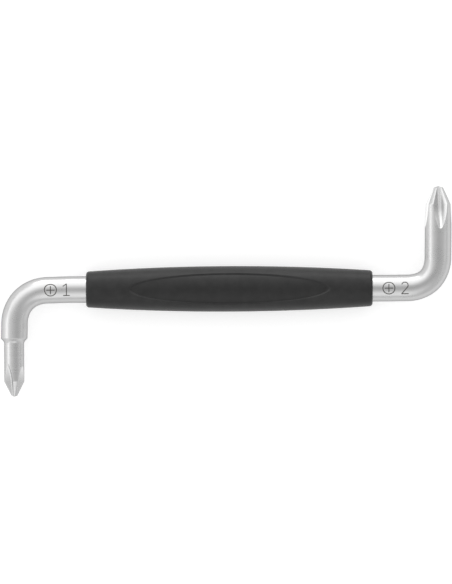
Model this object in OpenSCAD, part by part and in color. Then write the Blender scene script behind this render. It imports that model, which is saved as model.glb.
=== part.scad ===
// Offset screwdriver with a cross tip of size 1 on one leg and size 2 on the other.
// A round steel bar is bent into a Z, and a grip is moulded round its middle in two shots:
// a hard core that locks onto the bar, and a soft skin with an oval window on each face.
// The tool lies flat. The bar runs along X, the small tip points to -Y and the large tip to +Y.

/* [Bar] */
// Diameter of the round bar, which is also the shank of the large tip
bar_d = 6; // [5:0.1:7]
// Bare bar from the grip to the axis of the leg with the small tip
stub_small = 16.3; // [13:0.1:22]
// Bare bar from the grip to the axis of the leg with the large tip
stub_large = 14.8; // [12:0.1:22]
// Bend radius on the bar's axis, at the leg with the small tip
bend_small = 8.1; // [6:0.1:10]
// Bend radius on the bar's axis, at the leg with the large tip
bend_large = 7; // [5.5:0.1:9]

/* [Small leg] */
// Full-size bar between the bend and the shoulder of the blade
collar_l = 2.9; // [1:0.1:8]
// Diameter of the turned-down blade
blade_d = 4.5; // [3.8:0.1:4.8]
// Length of the turned-down blade, with its tip
blade_l = 12.3; // [10:0.1:16]
// Angle of the shoulder to the leg's axis
shoulder_angle = 45; // [35:1:60]
// Radius that runs the shoulder into the blade
root_r = 0.5; // [0.2:0.1:0.6]
// Diameter across the wings at the end of the small tip
small_point_d = 1.27; // [1:0.01:1.5]
// Thickness of the small tip's wings at the end
small_wing_t = 0.53; // [0.4:0.01:0.65]
// Width of the floor of the small tip's flutes
small_floor_w = 0.43; // [0.3:0.01:0.6]
// Angle between the two faces of that floor
small_floor_angle = 138; // [130:1:150]
// Angle at which the small tip's flutes rise towards the shank
small_rake = 7; // [4:0.25:9]
// Straight run of the small tip's flutes, before the cutter lifts out
small_run = 3.35; // [2:0.05:5]
// Turn of the small tip about its leg
small_turn = 7.5; // [0:0.5:45]

/* [Large leg] */
// Length of the large leg from the bend to the end of its tip
shank_l = 15.9; // [13:0.1:22]
// Diameter across the wings at the end of the large tip
large_point_d = 2.29; // [2:0.01:2.6]
// Thickness of the large tip's wings at the end
large_wing_t = 0.7; // [0.55:0.01:0.85]
// Width of the floor of the large tip's flutes
large_floor_w = 0.82; // [0.6:0.01:1]
// Angle between the two faces of that floor
large_floor_angle = 140; // [130:1:150]
// Angle at which the large tip's flutes rise towards the shank
large_rake = 5.75; // [4:0.25:8]
// Straight run of the large tip's flutes, before the cutter lifts out
large_run = 4.75; // [3:0.05:6]
// Turn of the large tip about its leg
large_turn = 35; // [0:0.5:45]

/* [Both tips] */
// Full angle of the cone that the wings taper to
cone_angle = 53; // [45:1:60]
// Full angle of the blunt end of the tip
blunt_angle = 130; // [110:1:160]
// Diameter of the cutter that mills the flutes
cutter_d = 20.8; // [16:0.1:26]

/* [Grip] */
// Length of the grip
grip_l = 64.5; // [58:0.5:80]
// Thickness of the grip's wall over the bar, in the middle
wall_mid = 2.1; // [1.7:0.05:3]
// Thickness of the grip's wall over the bar, at the ends
wall_end = 1; // [0.8:0.05:1.2]
// Rounding of the grip's ends
end_round = 0.45; // [0.2:0.05:0.6]
// Thickness of the soft skin over the core
skin_t = 0.9; // [0.7:0.05:1.05]

/* [Windows] */
// Length of the oval window on each face of the skin
window_l = 44.8; // [36:0.2:50]
// Width of the oval window
window_w = 6.7; // [5:0.1:7.5]
// Depth of the core's face below the skin in the window
window_depth = 0.3; // [0.15:0.05:0.5]

/* [Core] */
// Length of core beyond each end of the windows
core_margin = 2.6; // [2:0.1:3.5]
// Width of the ribs that lock the skin onto the core
rib_w = 1.2; // [0.8:0.1:1.6]
// Height of those ribs
rib_h = 0.35; // [0.2:0.05:0.5]
// Length of the flats on the bar that the core is moulded into
anchor_l = 10; // [6:0.5:14]
// Depth of those flats
anchor_cut = 0.6; // [0.3:0.05:0.9]
// Distance between the middles of the two pairs of flats
anchor_pitch = 30; // [24:0.5:36]

/* [Hidden] */
$fn = 96;

// How far a cut runs past what it cuts
over = 1;
// How far round its axis the cutter still sweeps after it has left the steel, in degrees
sweep_out = 12;
// Steps in a small round, in half of the grip's long arc, and in a window's outline
round_steps = 8;
arc_steps = 16;
window_steps = 72;

bar_r = bar_d / 2;
blade_r = blade_d / 2;
cutter_r = cutter_d / 2;

// Half lengths and radii of the grip, which bulges along a circular arc
grip_half = grip_l / 2;
grip_r_mid = bar_r + wall_mid;
grip_r_end = bar_r + wall_end;
grip_rise = grip_r_mid - grip_r_end;
arc_r = (pow(grip_half, 2) + pow(grip_rise, 2)) / (2 * grip_rise);
function grip_r(along) = grip_r_mid - arc_r + sqrt(pow(arc_r, 2) - pow(along, 2));
core_half = window_l / 2 + core_margin;

// How far each leg's axis lies from the middle of the grip, along the bar
out_small = grip_half + stub_small;
out_large = grip_half + stub_large;

// Lengths of the small leg from its bend to the blade and to the end of its tip
shoulder_l = (bar_r - blade_r) / tan(shoulder_angle);
blade_start = collar_l + shoulder_l;
leg_l = blade_start + blade_l;

// Middle of the outline seen from above, which goes to the origin
mid_x = (out_large - out_small) / 2;
mid_y = (bend_large + shank_l - bend_small - leg_l) / 2;

// Centres the outline on the origin, with the bar's axis at height zero
module placed() {
    translate([-mid_x, -mid_y, 0])
        children();
}

// Turns a solid of revolution from Z to the bar's axis
module along_bar() {
    rotate([0, 90, 0])
        children();
}

// End of a tip's round blank, at the far end of a leg: the wings' cone and the blunt point
function blunt_l(point_d) = point_d / 2 / tan(blunt_angle / 2);
function cone_l(point_d, shank_r) = (shank_r - point_d / 2) / tan(cone_angle / 2);
function point_points(point_d, shank_r, end_z) = [
    [shank_r, end_z - blunt_l(point_d) - cone_l(point_d, shank_r)],
    [point_d / 2, end_z - blunt_l(point_d)],
    [0, end_z]
];

// Section of a flute, with its floor at the origin and its mouth towards +X.
// Two shallow faces make the floor, and each side lies square to the next flute's side,
// so that a wing is left between them.
function floor_rise(floor_w, floor_angle) = floor_w / 2 / tan(floor_angle / 2);
function flute_points(depth, floor_w, floor_angle) = let(
    rise = floor_rise(floor_w, floor_angle),
    mouth_half = floor_w / 2 + depth - rise
) [
    [0, 0],
    [rise, floor_w / 2],
    [depth, mouth_half],
    [depth, -mouth_half],
    [rise, -floor_w / 2]
];

// Distance from the tip's axis to the flute's floor, at the end of the tip
function core_r(wing_t, floor_w, floor_angle) =
    wing_t / sqrt(2) + floor_w / 2 - floor_rise(floor_w, floor_angle);

// Path of the cutter for one flute on the +X side, from the end of the tip up Z:
// a straight run that rises at the rake, and then the cutter's own radius until it is clear
module flute(shank_r, wing_t, floor_w, floor_angle, rake, run) {
    depth = shank_r;
    points = flute_points(depth, floor_w, floor_angle);
    lift_r = core_r(wing_t, floor_w, floor_angle) + run * tan(rake);
    leave_angle = acos(cos(rake) - (shank_r - lift_r) / cutter_r);
    translate([lift_r, 0, run])
        rotate([0, rake, 0]) {
            translate([0, 0, -run / cos(rake) - over])
                linear_extrude(run / cos(rake) + over)
                    polygon(points);
            translate([cutter_r, 0, 0])
                rotate([90, 0, 180])
                    rotate_extrude(angle = leave_angle - rake + sweep_out)
                        translate([cutter_r, 0])
                            mirror([1, 0])
                                polygon(points);
        }
}

// Cuts the four flutes of a cross tip into a leg that ends at height end_z
module cross_tip(end_z, shank_r, wing_t, floor_w, floor_angle, rake, run, turn) {
    difference() {
        children();
        translate([0, 0, end_z])
            rotate([180, 0, 0])
                for (quarter = [0:3])
                    rotate(turn + 45 + 90 * quarter)
                        flute(shank_r, wing_t, floor_w, floor_angle, rake, run);
    }
}

// Leg with the small tip, up Z from its bend: collar, shoulder, root radius and blade
module small_leg() {
    // The root radius touches the shoulder and the blade
    root_z = blade_start + root_r * tan(shoulder_angle / 2);
    root = [for (step = [0:round_steps])
        let(turned = shoulder_angle * (round_steps - step) / round_steps)
        [blade_r + root_r * (1 - cos(turned)), root_z - root_r * sin(turned)]];
    cross_tip(leg_l, blade_r, small_wing_t, small_floor_w, small_floor_angle, small_rake, small_run, small_turn)
        rotate_extrude()
            polygon(concat(
                [[0, 0], [bar_r, 0], [bar_r, collar_l]],
                root,
                point_points(small_point_d, blade_r, leg_l)
            ));
}

// Leg with the large tip, up Z from its bend at the bar's full diameter
module large_leg() {
    cross_tip(shank_l, bar_r, large_wing_t, large_floor_w, large_floor_angle, large_rake, large_run, large_turn)
        rotate_extrude()
            polygon(concat(
                [[0, 0], [bar_r, 0]],
                point_points(large_point_d, bar_r, shank_l)
            ));
}

// Half of the bar from the middle of the grip: straight along +X, then a quarter turn,
// then the child as its leg towards +Y
module arm(out, bend_r) {
    along_bar()
        cylinder(h = out - bend_r, r = bar_r);
    translate([out - bend_r, bend_r, 0]) {
        rotate(-90)
            rotate_extrude(angle = 90)
                translate([bend_r, 0])
                    circle(r = bar_r);
        translate([bend_r, 0, 0])
            rotate([-90, 0, 0])
                children();
    }
}

// Cuts the flats that keep the core from turning or sliding on the bar
module anchor_cuts() {
    for (end = [-1, 1], face = [-1, 1])
        translate([end * anchor_pitch / 2, 0, face * (bar_r - anchor_cut + over)])
            cube([anchor_l, bar_d + over, 2 * over], center = true);
}

// The bar where the grip encloses it, running past both ends of the grip
module bar_inside() {
    difference() {
        along_bar()
            cylinder(h = grip_l + 2 * over, r = bar_r, center = true);
        anchor_cuts();
    }
}

module blade_bar() {
    color("silver")
        placed()
            difference() {
                union() {
                    arm(out_large, bend_large)
                        large_leg();
                    rotate(180)
                        arm(out_small, bend_small)
                            small_leg();
                }
                anchor_cuts();
            }
}

// Points of the grip's long arc between two ends, inset below its surface
function arc_points(half_l, inset) = [for (step = [1 - arc_steps:arc_steps - 1])
    let(along = half_l * step / arc_steps)
    [grip_r(along) - inset, along]];

// Round edge of the grip's end: side is 1 or -1, and the points run along the bar
function edge_points(side) = [for (step = [0:round_steps])
    let(
        turned = 90 * (side > 0 ? step : round_steps - step) / round_steps,
        start = grip_half - end_round
    )
    [grip_r(start) - end_round * (1 - cos(turned)), side * (start + end_round * sin(turned))]];

// Body that bulges along the grip's arc and ends square, inset below the grip's surface
module barrel(half_l, inset) {
    end_r = grip_r(half_l) - inset;
    along_bar()
        rotate_extrude()
            polygon(concat(
                [[0, -half_l], [end_r, -half_l]],
                arc_points(half_l, inset),
                [[end_r, half_l], [0, half_l]]
            ));
}

// Whole outline of the grip, with its rounded ends
module grip_outline() {
    along_bar()
        rotate_extrude()
            polygon(concat(
                [[0, -grip_half]],
                edge_points(-1),
                arc_points(grip_half - end_round, 0),
                edge_points(1),
                [[0, grip_half]]
            ));
}

// Oval prism through both faces of the grip
window_points = [for (step = [0:window_steps - 1])
    let(turned = 360 * step / window_steps)
    [window_l / 2 * cos(turned), window_w / 2 * sin(turned)]];
module window_prism() {
    translate([0, 0, -grip_r_mid - over])
        linear_extrude(2 * (grip_r_mid + over))
            polygon(window_points);
}

// Core with its raised window faces and lock ribs, before the bar is taken out of it
module core_body() {
    barrel(core_half, skin_t);
    intersection() {
        barrel(core_half, window_depth);
        window_prism();
    }
    for (end = [-1, 1])
        translate([end * (core_half - rib_w), 0, 0])
            intersection() {
                translate([-end * (core_half - rib_w), 0, 0])
                    barrel(core_half, skin_t - rib_h);
                along_bar()
                    cylinder(h = rib_w, r = grip_r_mid, center = true);
            }
}

module grip_core() {
    color("dimgray")
        placed()
            difference() {
                core_body();
                bar_inside();
            }
}

module grip_skin() {
    color([0.16, 0.16, 0.16])
        placed()
            difference() {
                grip_outline();
                core_body();
                window_prism();
                bar_inside();
            }
}

blade_bar();
grip_core();
grip_skin();
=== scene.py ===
"""Looks of an offset screwdriver: a bent satin-chrome bar with two cross tips and a two-shot grip.

Sizes are in millimetres where they are named, and each mesh is brought to metres as it is made.
The bar runs along X, the small tip points to -Y and the large tip to +Y, and the tool lies flat.
"""

import math

import bmesh
import bpy
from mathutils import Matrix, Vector


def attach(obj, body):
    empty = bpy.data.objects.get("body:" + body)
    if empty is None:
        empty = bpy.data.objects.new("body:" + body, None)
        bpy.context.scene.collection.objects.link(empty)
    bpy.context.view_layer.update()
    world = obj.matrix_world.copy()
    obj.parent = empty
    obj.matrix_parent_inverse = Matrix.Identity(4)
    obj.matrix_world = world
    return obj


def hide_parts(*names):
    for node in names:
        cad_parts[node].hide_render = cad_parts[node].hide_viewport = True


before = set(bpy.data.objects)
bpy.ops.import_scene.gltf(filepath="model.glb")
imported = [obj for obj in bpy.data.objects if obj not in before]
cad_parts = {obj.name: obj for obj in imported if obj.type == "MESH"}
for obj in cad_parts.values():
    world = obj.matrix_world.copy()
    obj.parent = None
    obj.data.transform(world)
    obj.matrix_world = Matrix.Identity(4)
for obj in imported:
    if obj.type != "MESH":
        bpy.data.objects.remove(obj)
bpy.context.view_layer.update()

MM = 0.001
QUARTER = math.pi / 2

# The bar, from the small tip's end to the large tip's end
BAR_R = 3.0
SMALL_LEG = 15.95
SMALL_BEND = 8.1
LARGE_BEND = 7.0
LARGE_LEG = 15.9
LEG_X = 47.8
BAR_Y = 0.575
SMALL_TIP_Y = -23.475
STRAIGHT = 2 * LEG_X - SMALL_BEND - LARGE_BEND
SMALL_BEND_END = SMALL_LEG + SMALL_BEND * QUARTER
LARGE_BEND_START = SMALL_BEND_END + STRAIGHT
LARGE_LEG_START = LARGE_BEND_START + LARGE_BEND * QUARTER
BAR_LENGTH = LARGE_LEG_START + LARGE_LEG
BAR_COLUMNS = 160

# Cold bending: how far the bar's axis strays from a round arc in the middle of a bend (out) and at
# its ends (in), and how deep the bending pin presses into the inside
SMALL_COLD = {
    "middle": SMALL_LEG + SMALL_BEND * math.pi / 4, "half": SMALL_BEND * math.pi / 4,
    "out": 0.09, "in": 0.12, "press": 0.14,
}
LARGE_COLD = {
    "middle": LARGE_BEND_START + LARGE_BEND * math.pi / 4, "half": LARGE_BEND * math.pi / 4,
    "out": 0.1, "in": 0.04, "press": 0.2,
}
# How far each leg leans to +X, for each millimetre towards its tip
SMALL_LEAN = 0.004
LARGE_LEAN = 0.007

# The turned-down blade of the small leg, and how softly its shoulder starts and ends
BLADE_R = 2.25
BLADE_L = 12.3
SHOULDER_L = 0.8
SHOULDER_ROOT = 0.45
SHOULDER_EDGE = 0.04

# The cross tips: wings, flute floors, the flutes' rake, and where the cutter lifts and is out
CUTTER_R = 10.4
CONE_ANGLE = math.radians(53)
BLUNT_ANGLE = math.radians(150)
SMALL_TIP = {
    "Point diameter": 1.27, "Wing thickness": 0.53, "Floor width": 0.43,
    "Floor angle": math.radians(138), "Rake": math.radians(7),
    "Straight run": 3.35, "Run-out end": 7.31,
}
LARGE_TIP = {
    "Point diameter": 2.29, "Wing thickness": 0.7, "Floor width": 0.82,
    "Floor angle": math.radians(140), "Rake": math.radians(5.75),
    "Straight run": 4.75, "Run-out end": 9.58,
}
# Turn of each tip's first flute about the bar
SMALL_TIP_TURN = math.radians(52.5)
LARGE_TIP_TURN = math.radians(10)

# Pen of the etched size marks
STROKE_WIDTH = 0.22
STROKE_HEIGHT = 0.03

# The grip
GRIP_X = 0.75
GRIP_HALF = 32.25
GRIP_R_MID = 5.1
GRIP_R_END = 4.0
GRIP_ARC_R = (GRIP_HALF**2 + (GRIP_R_MID - GRIP_R_END) ** 2) / (2 * (GRIP_R_MID - GRIP_R_END))
END_ROUND = 0.7
SKIN_T = 0.9
PARTING_H = 0.03
CORE_HALF = 25.0
# Rounded mouth of the skin's bore: distance in from the grip's end, and out from the bar
BORE_MOUTH = [(0, 0.12), (0.04, 0.04), (0.15, 0)]

# The windows: their depth, their rounded rim, and the half width of the leaning wall, which is
# wider at the oval's long ends
WINDOW_HALF_L = 22.4
WINDOW_HALF_W = 3.35
WINDOW_DEPTH = 0.3
WINDOW_RIM = 0.06
RIM_TURN = math.radians(35)
RIM_STEPS = 6
WALL_HALF_W = 0.15
WALL_HALF_L = 0.3
# How far the core's window reaches under the skin's wall, so that the seam is closed
TUCK = 0.02
# How far below the face the windows' edges are fully polished by use
WORN_DEPTH = 0.03

# Joining of near points of a mesh, in metres, and the angle from which an edge is sharp
WELD = 2e-6
SPECK = 5e-7
SHARP = math.radians(32)
# The least number that a sum divides by or takes for a radius
TINY = 0.0001


class Wire:
    """The output of a node. Python's operators on it add the Math nodes that do the sum."""

    def __init__(self, bench, socket):
        self.bench = bench
        self.socket = socket

    def also(self, name):
        """Another output of the same node."""
        return Wire(self.bench, self.socket.node.outputs[name])

    def math(self, operation, *others):
        values = dict(enumerate((self, *others)))
        return self.bench.put("ShaderNodeMath", {"operation": operation}, values)

    def __add__(self, other):
        return self.math("ADD", other)

    def __sub__(self, other):
        return self.math("SUBTRACT", other)

    def __mul__(self, other):
        return self.math("MULTIPLY", other)

    def __truediv__(self, other):
        return self.math("DIVIDE", other)

    def __pow__(self, other):
        return self.math("POWER", other)

    def __rsub__(self, other):
        return self.bench.put("ShaderNodeMath", {"operation": "SUBTRACT"}, {0: other, 1: self})

    def __rtruediv__(self, other):
        return self.bench.put("ShaderNodeMath", {"operation": "DIVIDE"}, {0: other, 1: self})

    def __neg__(self):
        return self * -1

    __radd__ = __add__
    __rmul__ = __mul__

    def above(self, limit):
        return self.math("GREATER_THAN", limit)

    def least(self, other):
        return self.math("MINIMUM", other)

    def most(self, other):
        return self.math("MAXIMUM", other)

    def soft_least(self, other, blend):
        return self.math("SMOOTH_MIN", other, blend)

    def soft_most(self, other, blend):
        return self.math("SMOOTH_MAX", other, blend)

    def size(self):
        return self.math("ABSOLUTE")

    def root(self):
        return self.math("SQRT")

    def sin(self):
        return self.math("SINE")

    def cos(self):
        return self.math("COSINE")

    def tan(self):
        return self.math("TANGENT")

    def arccos(self):
        return self.math("ARCCOSINE")

    def arctan(self):
        return self.math("ARCTANGENT")

    def hump(self, middle, width):
        """1 at the middle, and falls away smoothly to 0 on both sides."""
        return (-((self - middle) / width) ** 2).math("EXPONENT")

    def ramp(self, start, end):
        """0 before start, 1 after end, and a smooth rise between them."""
        return self.bench.put(
            "ShaderNodeMapRange", {"interpolation_type": "SMOOTHSTEP", "clamp": True},
            {"Value": self, "From Min": start, "From Max": end},
        )


class Bench:
    """A node tree while it is wired: put() adds any node, and Wire adds the sums."""

    def __init__(self, tree):
        self.tree = tree

    def put(self, kind, settings=None, inputs=None, out=0):
        node = self.tree.nodes.new(kind)
        for name, value in (settings or {}).items():
            setattr(node, name, value)
        for key, value in (inputs or {}).items():
            self.feed(node, key, value)
        return Wire(self, node.outputs[out]) if len(node.outputs) else None

    def feed(self, node, key, value):
        """Links a wire to one input of a node, or sets the input to a plain value."""
        if isinstance(value, Wire):
            self.tree.links.new(value.socket, node.inputs[key])
        else:
            node.inputs[key].default_value = value

    def mix(self, share, first, second):
        values = {"Factor": share, "A": first, "B": second}
        return self.put("ShaderNodeMix", {"data_type": "FLOAT"}, values)

    def store(self, shape, name, value):
        """Keeps a number on each point of a shape under this name."""
        return self.put(
            "GeometryNodeStoreNamedAttribute", {"data_type": "FLOAT", "domain": "POINT"},
            {"Geometry": shape, "Name": name, "Value": value},
        )

    def kept(self, name):
        """The number that each point keeps under this name, in a Geometry Nodes tree."""
        return self.put("GeometryNodeInputNamedAttribute", {"data_type": "FLOAT"}, {"Name": name})

    def painted(self, name):
        """The number that each point keeps under this name, in a material."""
        return self.put("ShaderNodeAttribute", {"attribute_name": name}, out="Fac")

    def place(self):
        """The place on the object, in a material."""
        return self.put("ShaderNodeTexCoord", out="Object")

    def noise(self, place, scale, detail, roughness=0.5):
        values = {"Vector": place, "Scale": scale, "Detail": detail, "Roughness": roughness}
        return self.put("ShaderNodeTexNoise", {}, values)


def new_group(name, inputs, outputs):
    """A Geometry Nodes group with named inputs and outputs, and a wire for each input."""
    tree = bpy.data.node_groups.new(name, "GeometryNodeTree")
    kinds = {
        "shape": "NodeSocketGeometry", "number": "NodeSocketFloat", "whole": "NodeSocketInt",
        "place": "NodeSocketVector", "finish": "NodeSocketMaterial",
    }
    for side, titles in (("INPUT", inputs), ("OUTPUT", outputs)):
        for title, kind in titles.items():
            tree.interface.new_socket(name=title, in_out=side, socket_type=kinds[kind])
    bench = Bench(tree)
    given = bench.put("NodeGroupInput")
    return bench, {title: given.also(title) for title in inputs}


def add_to_scene(name, data):
    """A new object of this name, at the origin, that shows the data."""
    thing = bpy.data.objects.new(name, data)
    bpy.context.scene.collection.objects.link(thing)
    return thing


def run_tree(name, carrier, tree, values):
    """Runs the tree on the carrier mesh, and returns the plain mesh it makes as a new piece."""
    holder = add_to_scene(name + "_carrier", carrier)
    modifier = holder.modifiers.new(name, "NODES")
    modifier.node_group = tree
    for item in tree.interface.items_tree:
        if item.in_out == "INPUT" and item.name in values:
            modifier[item.identifier] = values[item.name]
    scene_now = bpy.context.evaluated_depsgraph_get()
    made = bpy.data.meshes.new_from_object(holder.evaluated_get(scene_now))
    holder.modifiers.clear()
    bpy.data.objects.remove(holder)
    made.name = name
    return add_to_scene(name, made)


def bar_path_group():
    """Where a point lies that is some way along the bent bar, round it and out from its axis."""
    bench, given = new_group(
        "bar_path", {"Along": "number", "Around": "number", "Out": "number"},
        {"Position": "place"},
    )
    along = given["Along"]
    first = ((along - SMALL_LEG) / SMALL_BEND).most(0).least(QUARTER)
    second = ((along - LARGE_BEND_START) / LARGE_BEND).most(0).least(QUARTER)
    x = (
        (1 - first.cos()) * SMALL_BEND
        + (along - SMALL_BEND_END).most(0).least(STRAIGHT)
        + second.sin() * LARGE_BEND
        - LEG_X
    )
    y = (
        along.least(SMALL_LEG)
        + first.sin() * SMALL_BEND
        + (1 - second.cos()) * LARGE_BEND
        + (along - LARGE_LEG_START).most(0)
        + SMALL_TIP_Y
    )
    heading = QUARTER - first + second

    def strays(bend):
        """A cold bend is tighter in its middle, and looser where it starts and ends."""
        middle_width, end_width = 0.45, 0.4
        spot = (along - bend["middle"]) / bend["half"]
        at_ends = spot.hump(-1, end_width) + spot.hump(1, end_width)
        return spot.hump(0, middle_width) * bend["out"] - at_ends * bend["in"]

    to_small_tip = (SMALL_LEG - along).most(0)
    to_large_tip = (along - LARGE_LEG_START).most(0)
    lean = to_small_tip * SMALL_LEAN + to_large_tip * LARGE_LEAN
    wander = strays(SMALL_COLD) - strays(LARGE_COLD) - lean
    across = given["Around"].cos() * given["Out"] + wander
    place = bench.put("ShaderNodeCombineXYZ", {}, {
        "X": (x - heading.sin() * across) * MM,
        "Y": (y + heading.cos() * across) * MM,
        "Z": given["Around"].sin() * given["Out"] * MM,
    })
    bench.put("NodeGroupOutput", {}, {"Position": place})
    return bench.tree


def cross_tip_group():
    """A leg's section near its tip, with four flutes that run out on the cutter's own radius.

    Ring place counts from 0 to 8 round the tip, a step for each half flute. The columns of the
    mesh move so that one always lies on each wing's edge.
    """
    numbers = ["Height", "Ring place", "Blank radius", "Cutter radius", *SMALL_TIP]
    bench, given = new_group(
        "cross_tip", {title: "number" for title in numbers},
        {"Turn": "number", "Radius": "number", "Milled": "number"},
    )
    # Least and greatest turn from a flute's middle to its edge, share of the columns that lie
    # between them, how strongly the columns crowd at the edge, and where they are even again
    edge_min, edge_max = math.radians(9), math.radians(40.5)
    flute_share, crowding = 0.7, 1.6
    even_from, even_to = -0.6, 1.4
    # Softness of the floor's corners and of the wings' edges, and how deep a cut looks milled
    floor_blend, edge_blend = 0.12, 0.1
    milled_from, milled_to = -0.02, 0.04
    # Limits that keep the root and the arc cosine below real
    least_square, most_cosine = 0.01, 0.999

    height, blank, cutter = given["Height"], given["Blank radius"], given["Cutter radius"]
    run, rake = given["Straight run"], given["Rake"]
    half_floor = given["Floor width"] * 0.5
    slope = 1 / (given["Floor angle"] * 0.5).tan()
    rise = half_floor * slope
    core = given["Wing thickness"] * math.sqrt(0.5) + half_floor - rise
    lean = rake.cos()
    climb = rake.tan()
    # Middle of the cutter as it lifts out, and this ring's height above it
    cutter_out = core + run * climb + cutter * lean
    cutter_up = height - (run - cutter * rake.sin())
    lifting = height.above(run)

    # How deep the floor lies here, and how steeply it climbs
    reach = (cutter * cutter - cutter_up * cutter_up).most(least_square).root()
    floor_r = bench.mix(lifting, core + height * climb, cutter_out - reach)
    steep = bench.mix(lifting, lean, reach / cutter)

    # Turn from the flute's middle to the wing's edge, and from there the turn of this column
    side = (1 / steep).arctan()
    edge_out = floor_r + (rise - half_floor) / steep
    edge = (edge_out * side.cos() / blank).least(most_cosine).arccos() - side
    edge = edge.most(edge_min).least(edge_max)
    run_out = given["Run-out end"]
    even = height.ramp(run_out + even_from, run_out + even_to)
    edge = bench.mix(even, edge, QUARTER / 2 * flute_share)
    share = given["Ring place"].math("PINGPONG", 1.0)
    in_flute = 1 - (1 - (share / flute_share).least(1)) ** crowding
    in_wing = ((share - flute_share) / (1 - flute_share)).most(0) ** crowding
    turn = edge * in_flute + (QUARTER / 2 - edge) * in_wing

    # Distance to a flat of the flute at that turn, on the straight run and on the cutter's radius
    cos, sin = turn.cos(), turn.sin()

    def straight_face(start, spread):
        return (core + height * climb + start / lean) / (cos - sin * spread / lean).most(TINY)

    def lifted_face(start, spread):
        left = cutter - start
        square = cos * cos - sin * sin * spread * spread
        half = cutter_out * cos - left * spread * sin
        rest = cutter_out * cutter_out + cutter_up * cutter_up - left * left
        return rest / (half + (half * half - square * rest).most(0).root()).most(TINY)

    def face(start, spread):
        return bench.mix(lifting, straight_face(start, spread), lifted_face(start, spread))

    floor_face = face(rise * 0, slope)
    side_face = face(rise - half_floor, 1)
    milled = floor_face.soft_most(side_face, floor_blend)

    # Turn about the bar: the nearest flute's middle, and the turn to one side of it
    half_turns = given["Ring place"] * 0.5
    nearest = half_turns.math("ROUND")
    bench.put("NodeGroupOutput", {}, {
        "Turn": nearest * QUARTER + turn * (half_turns - nearest).math("SIGN"),
        "Radius": blank.soft_least(milled, edge_blend),
        "Milled": (blank - milled).ramp(milled_from, milled_to),
    })
    return bench.tree


def rings(start, *runs):
    """Places along the bar: each run goes on to an end in steps of about one size."""
    places = [start]
    for end, step in runs:
        start = places[-1]
        count = max(1, round(abs(end - start) / step))
        places += [start + (end - start) * (k + 1) / count for k in range(count)]
    return places


def bar_carrier():
    """A chain of points along the bar's length, close together where its shape changes.

    Each pair is where a run ends and its step, in order from a tip: the blunt end, the start of
    the cone, the flutes, on the small leg the plain blade and the shoulder, the rest of the leg,
    its bend, and the straight bar to some way inside the grip.
    """
    point_step, bend_step, bare_step, hidden_step = 0.012, 0.26, 0.9, 3.0
    small_bare, large_bare = 16.2, 14.8
    small = rings(
        0.0, (0.06, point_step), (0.6, 0.03), (7.6, 0.085), (11.9, 0.42), (13.4, 0.05),
        (SMALL_LEG, 0.36), (SMALL_BEND_END, bend_step), (small_bare + SMALL_BEND_END, bare_step),
    )
    large_turn = LARGE_BEND * QUARTER
    large = rings(
        0.0, (0.06, point_step), (0.9, 0.035), (10.0, 0.095), (LARGE_LEG, 0.5),
        (LARGE_LEG + large_turn, bend_step), (large_bare + LARGE_LEG + large_turn, bare_step),
    )
    large = [BAR_LENGTH - place for place in reversed(large)]
    inside_grip = rings(small[-1], (large[0], hidden_step))[1:-1]
    places = small + inside_grip + large
    links = [(k, k + 1) for k in range(len(places) - 1)]
    mesh = bpy.data.meshes.new("bar_line")
    mesh.from_pydata([(0, place * MM, 0) for place in places], links, [])
    station = mesh.attributes.new("station", "FLOAT", "POINT")
    station.data.foreach_set("value", places)
    return mesh


def tip_blank(height, shank, diameter):
    """Radius of a tip before milling: the blunt end, the cone of the wings and the shank."""
    blunt_blend, shank_blend = 0.05, 0.08
    half = diameter * 0.5
    blunt = height * math.tan(BLUNT_ANGLE / 2)
    cone = half + (height - half / math.tan(BLUNT_ANGLE / 2)) * math.tan(CONE_ANGLE / 2)
    return blunt.soft_least(cone, blunt_blend).soft_least(shank, shank_blend).most(0)


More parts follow.
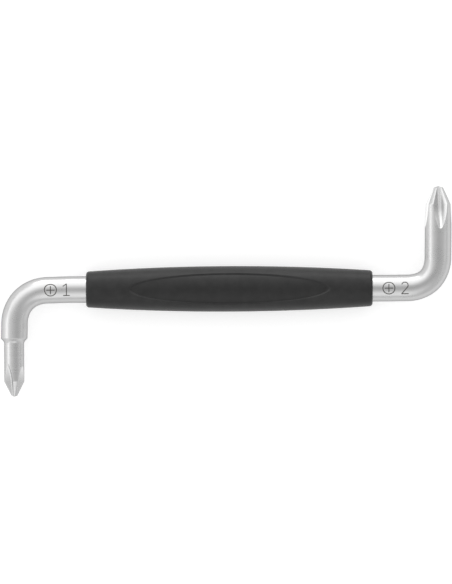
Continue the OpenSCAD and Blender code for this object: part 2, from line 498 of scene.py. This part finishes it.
def bent_bar(finish, path, tip):
    """The whole bar as one sweep: a ring of columns at each place, with tips, blade and shoulder.

    Station is the distance along the bar's axis from the small tip's end.
    """
    bench, given = new_group(
        "bent_bar",
        {"Line": "shape", "Columns": "whole", "Bar radius": "number", "Blade radius": "number",
         "Blade length": "number", "Shoulder length": "number", "Cutter radius": "number",
         **{f"Small {title}": "number" for title in SMALL_TIP},
         **{f"Large {title}": "number" for title in LARGE_TIP},
         "Small turn": "number", "Large turn": "number", "Finish": "finish"},
        {"Bar": "shape"},
    )
    ring = bench.put("GeometryNodeCurvePrimitiveCircle", {"mode": "RADIUS"},
                     {"Resolution": given["Columns"], "Radius": MM})
    ring = bench.store(ring, "column", bench.put("GeometryNodeInputIndex"))
    line = bench.put("GeometryNodeMeshToCurve", {}, {"Mesh": given["Line"]})
    skin = bench.put("GeometryNodeCurveToMesh", {}, {"Curve": line, "Profile Curve": ring})
    station = bench.kept("station")
    half_flutes = 8
    ring_place = bench.kept("column") * half_flutes / given["Columns"]

    bar_r, blade_r = given["Bar radius"], given["Blade radius"]
    to_large = BAR_LENGTH - station
    past_blade = station - given["Blade length"]
    shoulder = blade_r + past_blade * ((bar_r - blade_r) / given["Shoulder length"])
    collar = blade_r.soft_most(shoulder, SHOULDER_ROOT).soft_least(bar_r, SHOULDER_EDGE)
    small_blank = tip_blank(station, collar, given["Small Point diameter"])
    large_blank = tip_blank(to_large, bar_r, given["Large Point diameter"])

    def milled_tip(size, height, blank):
        turn = bench.put("GeometryNodeGroup", {"node_tree": tip}, {
            "Height": height.most(0), "Ring place": ring_place,
            "Blank radius": blank.most(TINY), "Cutter radius": given["Cutter radius"],
            **{title: given[f"{size} {title}"] for title in SMALL_TIP},
        })
        return turn, turn.also("Radius"), turn.also("Milled")

    small_turn, small_radius, small_milled = milled_tip("Small", station, small_blank)
    large_turn, large_radius, large_milled = milled_tip("Large", to_large, large_blank)
    # The columns turn from one tip's place to the other's where the grip hides them
    hidden = 18
    twist = station.ramp(SMALL_BEND_END + hidden, LARGE_BEND_START - hidden)
    around = bench.mix(
        twist, small_turn + given["Small turn"], large_turn + given["Large turn"]
    )
    near_large = station.above(BAR_LENGTH / 2)
    milled = bench.mix(near_large, small_milled, large_milled)
    out = bench.mix(near_large, small_radius, large_radius)
    # Both ends close in a point on the axis
    out = out * (small_blank.above(TINY) * large_blank.above(TINY))

    def pressed(bend, inner_side):
        """The dent that the bending pin leaves on the inside of a bend."""
        width = 0.5
        spot = (station - bend["middle"]) / bend["half"]
        inside = (around.cos() * inner_side).most(0)
        return spot.hump(0, width) * inside**2 * bend["press"]

    out = out - pressed(SMALL_COLD, -1) - pressed(LARGE_COLD, 1)
    place = bench.put("GeometryNodeGroup", {"node_tree": path},
                      {"Along": station, "Around": around, "Out": out})
    skin = bench.store(skin, "milled", milled)
    skin = bench.put("GeometryNodeSetPosition", {}, {"Geometry": skin, "Position": place})
    skin = bench.put("GeometryNodeMergeByDistance", {}, {"Geometry": skin, "Distance": SPECK})
    skin = bench.put("GeometryNodeSetShadeSmooth", {}, {0: skin})
    skin = bench.put("GeometryNodeRealizeInstances", {}, {0: skin})
    skin = bench.put("GeometryNodeSetMaterial", {},
                     {"Geometry": skin, "Material": given["Finish"]})
    bench.put("NodeGroupOutput", {}, {"Bar": skin})
    values = {
        "Columns": BAR_COLUMNS, "Bar radius": BAR_R, "Blade radius": BLADE_R,
        "Blade length": BLADE_L, "Shoulder length": SHOULDER_L, "Cutter radius": CUTTER_R,
        **{f"Small {title}": value for title, value in SMALL_TIP.items()},
        **{f"Large {title}": value for title, value in LARGE_TIP.items()},
        "Small turn": SMALL_TIP_TURN, "Large turn": LARGE_TIP_TURN, "Finish": finish,
    }
    return run_tree("satin_bar", bar_carrier(), bench.tree, values)


def arc_points(centre, radius, start, end, count):
    """Points along an arc between two angles in degrees."""
    turns = [math.radians(start + (end - start) * k / count) for k in range(count + 1)]
    return [
        (centre[0] + radius * math.cos(turn), centre[1] + radius * math.sin(turn))
        for turn in turns
    ]


def mark_strokes(digit):
    """A cross in a circle and the tip's plain size number, as pen strokes on a flat strip."""
    sign, arm, ring_r = -1.65, 0.95, 1.35
    top, foot, stem = 1.35, -1.35, 1.95
    circle = arc_points((sign, 0.0), ring_r, start=0, end=360, count=40)
    level, upright = [(sign - arm, 0.0), (sign + arm, 0.0)], [(sign, -arm), (sign, arm)]
    if digit == 1:
        number = [[(1.15, 0.75), (stem, top), (stem, foot)], [(1.2, foot), (2.7, foot)]]
    else:
        bow = arc_points((stem, 0.62), radius=0.73, start=165, end=-35, count=18)
        number = [bow + [(1.2, foot), (2.75, foot)]]
    return [circle, level, upright, *number]


def mark_carrier(strokes):
    """The strokes as chains of close points. A stroke that ends where it starts is a ring."""
    step = 0.15
    points, edges = [], []
    for stroke in strokes:
        closed = math.dist(stroke[0], stroke[-1]) < 1e-6
        stroke = stroke[:-1] if closed else stroke
        ends = stroke[1:] + ([stroke[0]] if closed else [])
        fine = []
        for here, there in zip(stroke, ends):
            count = max(1, round(math.dist(here, there) / step))
            fine += [
                tuple(h + (t - h) * k / count for h, t in zip(here, there)) for k in range(count)
            ]
        fine += [] if closed else [stroke[-1]]
        first, last = len(points), len(points) + len(fine) - 1
        points += [(u, v, 0.0) for u, v in fine]
        edges += [(k, k + 1) for k in range(first, last)]
        edges += [(last, first)] if closed else []
    mesh = bpy.data.meshes.new("mark_line")
    mesh.from_pydata(points, edges, [])
    return mesh


def mark_group(path):
    """Strokes on a flat strip, given a width and wrapped round the bar on its camera side."""
    bench, given = new_group(
        "etched_mark",
        {"Strokes": "shape", "Along": "number", "Stroke width": "number",
         "Stroke height": "number", "Bar radius": "number", "Finish": "finish"},
        {"Mark": "shape"},
    )
    line = bench.put("GeometryNodeMeshToCurve", {}, {"Mesh": given["Strokes"]})
    line = bench.put("GeometryNodeSetCurveNormal", {"mode": "Z_UP"}, {0: line})
    flat = bench.put("GeometryNodeCurvePrimitiveQuadrilateral", {"mode": "RECTANGLE"},
                     {"Width": given["Stroke width"], "Height": given["Stroke height"]})
    mark = bench.put("GeometryNodeCurveToMesh", {},
                     {"Curve": line, "Profile Curve": flat, "Fill Caps": True})
    u = bench.put("ShaderNodeSeparateXYZ", {}, {0: bench.put("GeometryNodeInputPosition")})
    v, raised = u.also("Y"), u.also("Z")
    place = bench.put("GeometryNodeGroup", {"node_tree": path}, {
        "Along": given["Along"] + u,
        "Around": QUARTER - v / given["Bar radius"],
        "Out": given["Bar radius"] + raised,
    })
    mark = bench.put("GeometryNodeSetPosition", {}, {"Geometry": mark, "Position": place})
    mark = bench.put("GeometryNodeRealizeInstances", {}, {0: mark})
    mark = bench.put("GeometryNodeSetMaterial", {},
                     {"Geometry": mark, "Material": given["Finish"]})
    bench.put("NodeGroupOutput", {}, {"Mark": mark})
    return bench.tree


def etched_mark(name, digit, x, tree, finish):
    """A tip's size mark on the straight part of the bar at x."""
    along = SMALL_BEND_END + LEG_X - SMALL_BEND + x
    values = {"Along": along, "Stroke width": STROKE_WIDTH, "Stroke height": STROKE_HEIGHT,
              "Bar radius": BAR_R, "Finish": finish}
    return run_tree(name, mark_carrier(mark_strokes(digit)), tree, values)


def grip_r(x):
    """Radius of the grip, x from its middle: it bulges along one circular arc."""
    return GRIP_R_MID - GRIP_ARC_R + math.sqrt(GRIP_ARC_R**2 - x**2)


def core_r(x):
    """Radius of the core under the skin."""
    return grip_r(x) - SKIN_T


def core_face_r(x):
    """Radius of the core's faces in the windows."""
    return grip_r(x) - WINDOW_DEPTH


class Shell:
    """Faces of one closed grip piece, about the grip's middle: X along the bar, Z to the camera."""

    def __init__(self):
        self.points, self.faces = [], []

    def loft(self, loops):
        """Quads between loops of equal length, each a ring of points."""
        first, count = len(self.points), len(loops[0])
        for loop in loops:
            self.points += loop
        for ring in range(len(loops) - 1):
            for k in range(count):
                a = first + ring * count + k
                b = first + ring * count + (k + 1) % count
                self.faces.append((a, b, b + count, a + count))

    def fan(self, middle, loop):
        """Triangles from a middle point to a ring of points."""
        first, count = len(self.points), len(loop)
        self.points += [middle, *loop]
        self.faces += [(first, first + 1 + k, first + 1 + (k + 1) % count) for k in range(count)]

    def piece(self, name, finish, face_r):
        """Makes the mesh.

        Its attribute "worn" is 0 on the face, whose radius is face_r(x), and rises to 1 a little
        below it, which polishes the edges of the windows and leaves the grip's ends as moulded.
        """
        mesh = bpy.data.meshes.new(name)
        placed = [((x + GRIP_X) * MM, (y + BAR_Y) * MM, z * MM) for x, y, z in self.points]
        mesh.from_pydata(placed, [], self.faces)
        work = bmesh.new()
        work.from_mesh(mesh)
        bmesh.ops.remove_doubles(work, verts=work.verts, dist=WELD)
        bmesh.ops.dissolve_degenerate(work, edges=work.edges, dist=SPECK)
        bmesh.ops.recalc_face_normals(work, faces=work.faces)
        work.to_mesh(mesh)
        work.free()
        mesh.set_sharp_from_angle(angle=SHARP)
        values = []
        for point in mesh.vertices:
            x, y, z = (part / MM for part in point.co)
            depth = face_r(x - GRIP_X) - math.hypot(y - BAR_Y, z)
            near_window = abs(x - GRIP_X) < CORE_HALF
            values.append(min(max(depth / WORN_DEPTH, 0), 1) if near_window else 0)
        mesh.attributes.new("worn", "FLOAT", "POINT").data.foreach_set("value", values)
        mesh.materials.append(finish)
        return add_to_scene(name, mesh)


# Points in a loop round a window, and in an eighth of it, where the loop round the half barrel
# has its corner
LOOP = 192
CORNER = LOOP // 8


def on_barrel(x, turn, radius, side):
    """A point of the grip's round: turn is 0 at the face and a quarter at the +Y edge."""
    return (x, radius * math.sin(turn), side * radius * math.cos(turn))


def oval(long_half, short_half):
    """Points (x, y) of a flat oval, from its +X end."""
    turns = [2 * math.pi * k / LOOP for k in range(LOOP)]
    return [(long_half * math.cos(turn), short_half * math.sin(turn)) for turn in turns]


def oval_at(long_half, short_half, radius_at, side):
    """A window's outline laid straight down onto a barrel whose radius is radius_at(x)."""
    return [
        (x, y, side * math.sqrt(max(radius_at(x) ** 2 - y * y, 0)))
        for x, y in oval(long_half, short_half)
    ]


def edge_of_half(end_x):
    """Places (x, turn) round the edge of half the barrel, one for each point of an oval."""
    places = []
    half = LOOP // 2
    for k in range(LOOP):
        spot = k if k <= half else LOOP - k
        sign = 1 if k <= half else -1
        if spot <= CORNER:
            places.append((end_x, sign * QUARTER * spot / CORNER))
        elif spot <= half - CORNER:
            share = (spot - CORNER) / (half - 2 * CORNER)
            places.append((end_x * (1 - 2 * share), sign * QUARTER))
        else:
            places.append((-end_x, sign * QUARTER * (half - spot) / CORNER))
    return places


def field_loops(long_half, short_half, end_x, radius_at, side, shares, ridge=0.0):
    """Loops that spread from a window's outline to the edge of half the barrel.

    The ridge is how high a parting line stands there, along the barrel.
    """
    inner = [(x, math.asin(y / radius_at(x))) for x, y in oval(long_half, short_half)]
    outer = edge_of_half(end_x)
    loops = []
    for share in shares:
        loop = []
        for (x_in, turn_in), (x_out, turn_out) in zip(inner, outer):
            x = x_in + (x_out - x_in) * share
            turn = turn_in + (turn_out - turn_in) * share
            raised = ridge if share == 1 and abs(turn_out) == QUARTER else 0
            loop.append(on_barrel(x, turn, radius_at(x) + raised, side))
        loops.append(loop)
    return loops


def end_rings(profile, end, ridge=0.0):
    """Full rings round the bar, one for each (distance from the middle, radius) of a profile."""
    count = 4 * CORNER
    raised = [ridge if k % (count // 2) == CORNER else 0 for k in range(count)]
    return [
        [on_barrel(end * x, 2 * math.pi * k / count, radius + raised[k], 1) for k in range(count)]
        for x, radius in profile
    ]


def quarter_round(x, radius, size, steps):
    """Profile points round an outer edge of that size, from the barrel to the end face."""
    turns = [QUARTER * k / steps for k in range(steps + 1)]
    return [(x + size * math.sin(turn), radius - size * (1 - math.cos(turn))) for turn in turns]


def soft_skin(finish):
    """The soft skin: a barrel with round ends and an oval window in each face.

    Each window has a rounded rim, which leaves the barrel a rim's width outside the window and
    turns down into a leaning wall.
    """
    shell = Shell()
    start_x = GRIP_HALF - END_ROUND
    foot_l, foot_w = WINDOW_HALF_L - WALL_HALF_L, WINDOW_HALF_W - WALL_HALF_W
    crest_l, crest_w = WINDOW_HALF_L + WALL_HALF_L, WINDOW_HALF_W + WALL_HALF_W
    rim_l, rim_w = crest_l + WINDOW_RIM, crest_w + WINDOW_RIM
    shares = [0, 0.012, 0.03, 0.06, 0.1, 0.15, 0.21, 0.28, 0.36, 0.45, 0.55, 0.65, 0.75, 0.85,
              0.93, 0.985, 1]
    for side in (1, -1):
        loops = []
        for step in range(RIM_STEPS + 1):
            turned = RIM_TURN * step / RIM_STEPS
            out = WINDOW_RIM * (1 - math.sin(turned))
            drop = WINDOW_RIM * (1 - math.cos(turned))
            loops.append(oval_at(crest_l + out, crest_w + out, lambda x: grip_r(x) - drop, side))
        loops.append(oval_at(foot_l, foot_w, core_face_r, side))
        loops.append(oval_at(foot_l, foot_w, core_r, side))
        shell.loft(loops)
        shell.loft(field_loops(rim_l, rim_w, start_x, grip_r, side, shares, PARTING_H))
        shell.loft(field_loops(foot_l, foot_w, CORE_HALF, core_r, side, shares))
    for end in (1, -1):
        outer = quarter_round(start_x, grip_r(start_x), END_ROUND, steps=10)
        face_r = outer[-1][1]
        inner = [(GRIP_HALF, (face_r + BAR_R) / 2)]
        inner += [(GRIP_HALF - depth, BAR_R + gap) for depth, gap in BORE_MOUTH]
        inner += [(CORE_HALF, BAR_R), (CORE_HALF, core_r(CORE_HALF))]
        shell.loft(end_rings(outer, end, PARTING_H) + end_rings(inner, end))
    return shell.piece("soft_skin", finish, grip_r)


def hard_core(finish):
    """The hard core: it fills the skin, and stands up in each window to just below its face."""
    shell = Shell()
    long_half = WINDOW_HALF_L - WALL_HALF_L + TUCK
    short_half = WINDOW_HALF_W - WALL_HALF_W + TUCK
    face_shares = [0.04, 0.1, 0.18, 0.27, 0.37, 0.48, 0.6, 0.72, 0.83, 0.92, 0.97, 1]
    field_shares = [0, 0.05, 0.15, 0.3, 0.45, 0.6, 0.75, 0.9, 1]
    for side in (1, -1):
        loops = [
            oval_at(long_half * share, short_half * share, core_face_r, side)
            for share in face_shares
        ]
        shell.fan((0.0, 0.0, side * core_face_r(0)), loops[0])
        loops.append(oval_at(long_half, short_half, core_r, side))
        shell.loft(loops)
        shell.loft(field_loops(long_half, short_half, CORE_HALF, core_r, side, field_shares))
    for end in (1, -1):
        profile = [(CORE_HALF, core_r(CORE_HALF)), (CORE_HALF, BAR_R), (0.0, BAR_R)]
        shell.loft(end_rings(profile, end))
    return shell.piece("hard_core", finish, core_face_r)


def new_finish(name, values_from):
    """A material whose Principled shader gets the values that values_from(bench) wires."""
    material = bpy.data.materials.new(name)
    material.use_nodes = True
    bench = Bench(material.node_tree)
    for title, value in values_from(bench).items():
        bench.feed(material.node_tree.nodes["Principled BSDF"], title, value)
    return material


def grey(level):
    return (level, level, level, 1)


def two_tone(bench, share, first, second):
    """Mixes two colours. The Mix node's colour sockets are 6 and 7, and its colour output is 2."""
    values = {"Factor": share, 6: first, 7: second}
    return bench.put("ShaderNodeMix", {"data_type": "RGBA"}, values, out=2)


def satin_chrome(bench):
    """Blasted grain, cloudy polish, lathe lines on the blade and cutter lines in the flutes.

    Each texture is about 0.5 on average, so a sum takes 0.5 off it before it changes a shade.
    """
    # Heights in the bump, for the grain, the grain that turning takes away, and the rest
    grain_h, turned_off, cloud_h, lathe_h, cutter_h = 0.34, 0.2, 0.25, 1.6, 0.3
    # How light the metal is between its two greys, and what each texture adds
    base_shade, cloud_shade, lathe_shade, milled_shade = 0.3, 0.2, 0.8, 0.55
    rough, cloud_rough, grain_rough = 0.29, 0.1, 0.1
    # Where the lathe lines fade out at the shoulder
    fade_from, fade_to = BLADE_L - 0.4, BLADE_L + 0.5

    place = bench.place()
    grain = bench.noise(place, scale=5200, detail=3, roughness=0.6)
    cloud = bench.noise(place, scale=260, detail=4, roughness=0.55)
    station, milled = bench.painted("station"), bench.painted("milled")
    lathe = bench.put("ShaderNodeTexNoise", {"noise_dimensions": "1D"},
                      {"W": station, "Scale": 2.4, "Detail": 5, "Roughness": 0.75})
    turned = (1 - station.ramp(fade_from, fade_to)) * (1 - milled)
    cutter = bench.put(
        "ShaderNodeTexWave",
        {"wave_type": "BANDS", "bands_direction": "Y", "wave_profile": "SIN"},
        {"Vector": place, "Scale": 1500, "Distortion": 1.5, "Detail": 2},
    )
    height = (
        grain * (grain_h - turned * turned_off) + cloud * cloud_h
        + lathe * turned * lathe_h + cutter * milled * cutter_h
    )
    bump = bench.put("ShaderNodeBump", {},
                     {"Height": height, "Strength": 0.32, "Distance": 0.03 * MM}, out="Normal")
    shade = (
        base_shade + (cloud - 0.5) * cloud_shade + (lathe - 0.5) * turned * lathe_shade
        + milled * milled_shade
    )
    return {
        "Base Color": two_tone(bench, shade, grey(0.5), grey(0.7)), "Metallic": 1.0,
        "Roughness": rough + (cloud - 0.5) * cloud_rough + (grain - 0.5) * grain_rough,
        "Specular Tint": grey(0.5), "Normal": bump,
    }


def etch_black(bench):
    """Dark oxide that a marking laser leaves in the chrome."""
    dots = bench.noise(bench.place(), scale=9000, detail=2)
    color = two_tone(bench, dots, (0.035, 0.033, 0.032, 1), (0.1, 0.095, 0.09, 1))
    return {"Base Color": color, "Metallic": 0.0, "Roughness": 0.45 + dots * 0.3}


def moulded(dark, light, grain_scale, grain_strength):
    """Dark moulded plastic or rubber with the grain of a spark-eroded mould."""
    rough, pits_rough, polish, smoothed = 0.42, 0.16, 0.17, 0.6

    def values_from(bench):
        place = bench.place()
        pits = bench.noise(place, scale=grain_scale, detail=2)
        cloud = bench.noise(place, scale=420, detail=5, roughness=0.6)
        worn = bench.painted("worn")
        height = pits * (1 - worn * smoothed)
        bump = bench.put("ShaderNodeBump", {}, {
            "Height": height, "Strength": grain_strength, "Distance": 0.04 * MM,
        }, out="Normal")
        return {
            "Base Color": two_tone(bench, cloud.ramp(0.3, 0.7), grey(dark), grey(light)),
            "Roughness": rough + (pits - 0.5) * pits_rough - worn * polish,
            "Specular IOR Level": 0.25, "Normal": bump,
        }

    return values_from


def pale_paper(bench):
    """Floor that clips to white for the camera, less so in a reflection, and keeps the shadow."""
    glow, mirrored_share = 0.5, 0.9
    rays = bench.put("ShaderNodeLightPath", out="Is Camera Ray")
    mirrored = rays.also("Is Glossy Ray") * mirrored_share
    seen = rays.most(mirrored).most(rays.also("Is Transmission Ray"))
    return {"Base Color": grey(0.65), "Roughness": 0.9, "Specular IOR Level": 0.0,
            "Emission Color": grey(1), "Emission Strength": seen * glow}


def sheet(half, height):
    """Corners of a level square, in metres."""
    return [(-half, -half, height), (half, -half, height), (half, half, height),
            (-half, half, height)]


# Height of the floor in metres: it touches the core's lower face, the lowest part of the tool
FLOOR_Z = -4.8 * MM


def white_floor():
    mesh = bpy.data.meshes.new("floor")
    mesh.from_pydata(sheet(3.0, FLOOR_Z), [], [(0, 1, 2, 3)])
    mesh.materials.append(new_finish("pale_floor", pale_paper))
    floor = add_to_scene("floor", mesh)


def white_world():
    world = bpy.data.worlds.new("studio")
    world.use_nodes = True
    bpy.context.scene.world = world
    background = world.node_tree.nodes["Background"]
    background.inputs["Color"].default_value = (1, 1, 1, 1)
    background.inputs["Strength"].default_value = 1.0


def reflected_sheet(name, points, faces, glow):
    """A glowing sheet that only shows in the metal. Its strength is what glow(bench) wires."""
    mesh = bpy.data.meshes.new(name)
    mesh.from_pydata(points, [], faces)
    material = bpy.data.materials.new(name)
    material.use_nodes = True
    material.node_tree.nodes.clear()
    bench = Bench(material.node_tree)
    light = bench.put("ShaderNodeEmission", {}, {"Strength": glow(bench)})
    bench.put("ShaderNodeOutputMaterial", {}, {"Surface": light})
    mesh.materials.append(material)
    panel = add_to_scene(name, mesh)
    panel.visible_camera = False
    panel.visible_shadow = False
    panel.visible_diffuse = False
    return panel


def low_ceiling():
    """Two large soft lights with a dim gap between them, which the metal mirrors as a dark band.

    The gap runs along the bar. The far light, at +Y, is the stronger one, and the gap brightens
    most to the left. Lengths are in metres.
    """
    half, height = 1.0, 0.3
    # Where along X the gap is dimmest, its half width, and its level there
    gap_x, gap_half, gap_level = 0.065, 0.3, 0.54
    # Each light's strength in the middle, where it fades along X, and how much of it fades
    far_gain, far_fade, far_loss = 0.88, (0.1, 0.6), 0.75
    near_gain, near_fade = 0.69, (0.0, 0.35)
    # How the lights brighten away from the gap, and where that ends
    outward, outward_end = 0.4, 0.5
    # How the gap brightens to its left and right, by which power, and where that ends
    left_gain, right_gain, end_power, end_reach = 1.5, 0.8, 1.2, 0.8
    # Half width of the blend from one side's values to the other's
    blend = 0.05

    def glow(bench):
        x = bench.put("ShaderNodeSeparateXYZ", {}, {0: bench.place()})
        y = x.also("Y")
        from_gap = x - gap_x
        near = near_gain * (1 - x.size().ramp(*near_fade))
        far = far_gain * (1 - x.size().ramp(*far_fade) * far_loss)
        lights = y.size().ramp(0.0, gap_half) + y.size().least(outward_end) * outward
        lights = lights * bench.mix(y.ramp(-blend, blend), near, far)
        ends = from_gap.size().least(end_reach) ** end_power
        ends = ends * bench.mix(from_gap.ramp(-blend, blend), left_gain, right_gain)
        return gap_level + lights + ends

    ceiling = reflected_sheet("ceiling", sheet(half, height), [(0, 3, 2, 1)], glow)


def low_card():
    """A grey card round the right and the near side, which the metal mirrors as darker flanks.

    It stands on the floor, along an arc about the tool. Lengths are in metres.
    """
    reach, top, level = 0.9, 0.3, 0.76
    start, end, steps = math.radians(-115), math.radians(50), 32
    turns = [start + (end - start) * k / steps for k in range(steps + 1)]
    points = [
        (reach * math.cos(turn), reach * math.sin(turn), z)
        for z in (FLOOR_Z, top) for turn in turns
    ]
    faces = [(k, k + steps + 1, k + steps + 2, k + 1) for k in range(steps)]
    card = reflected_sheet("card", points, faces, lambda bench: level)


def soft_box(name, position, size, watts):
    """A rectangular lamp that faces the tool. Position and size are in metres."""
    light = bpy.data.lights.new(name, "AREA")
    light.shape = "RECTANGLE"
    light.size, light.size_y = size
    light.energy = watts
    lamp = add_to_scene(name, light)
    lamp.location = position
    lamp.rotation_euler = (-Vector(position)).to_track_quat("-Z", "Y").to_euler()


def studio_camera():
    """Looks straight down from afar, so that the tool shows as it is drawn, with no perspective."""
    view_width, middle_y, turn = 101.8 * MM, -0.13 * MM, math.radians(-0.26)
    camera = bpy.data.cameras.new("camera")
    camera.sensor_fit = "HORIZONTAL"
    camera.sensor_width = 36
    camera.lens = 800
    camera.clip_start = 0.01
    holder = add_to_scene("camera", camera)
    holder.location = (0, middle_y, view_width * camera.lens / camera.sensor_width)
    holder.rotation_euler = (0, 0, turn)
    bpy.context.scene.camera = holder


studio_camera()
bpy.context.scene.view_settings.view_transform = "Standard"

path = bar_path_group()
bar = bent_bar(new_finish("satin_chrome", satin_chrome), path, cross_tip_group())
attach(bar, "root")
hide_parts("blade_bar")

etch = new_finish("etch_black", etch_black)
marking = mark_group(path)
for name, digit, x in (("small_size_mark", 1, -37.85), ("large_size_mark", 2, 38.3)):
    mark = etched_mark(name, digit, x, marking, etch)
    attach(mark, "root")

rubber = moulded(dark=0.016, light=0.022, grain_scale=7000, grain_strength=0.6)
skin = soft_skin(new_finish("soft_rubber", rubber))
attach(skin, "root")
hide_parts("grip_skin")

plastic = moulded(dark=0.014, light=0.019, grain_scale=9500, grain_strength=0.5)
core = hard_core(new_finish("core_plastic", plastic))
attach(core, "root")
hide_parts("grip_core")

white_world()
white_floor()
low_ceiling()
low_card()
soft_box("key", position=(0.0, 0.85, 0.11), size=(0.6, 0.24), watts=1.8)
soft_box("left", position=(-0.6, 0.0, 0.09), size=(0.16, 0.5), watts=0.12)
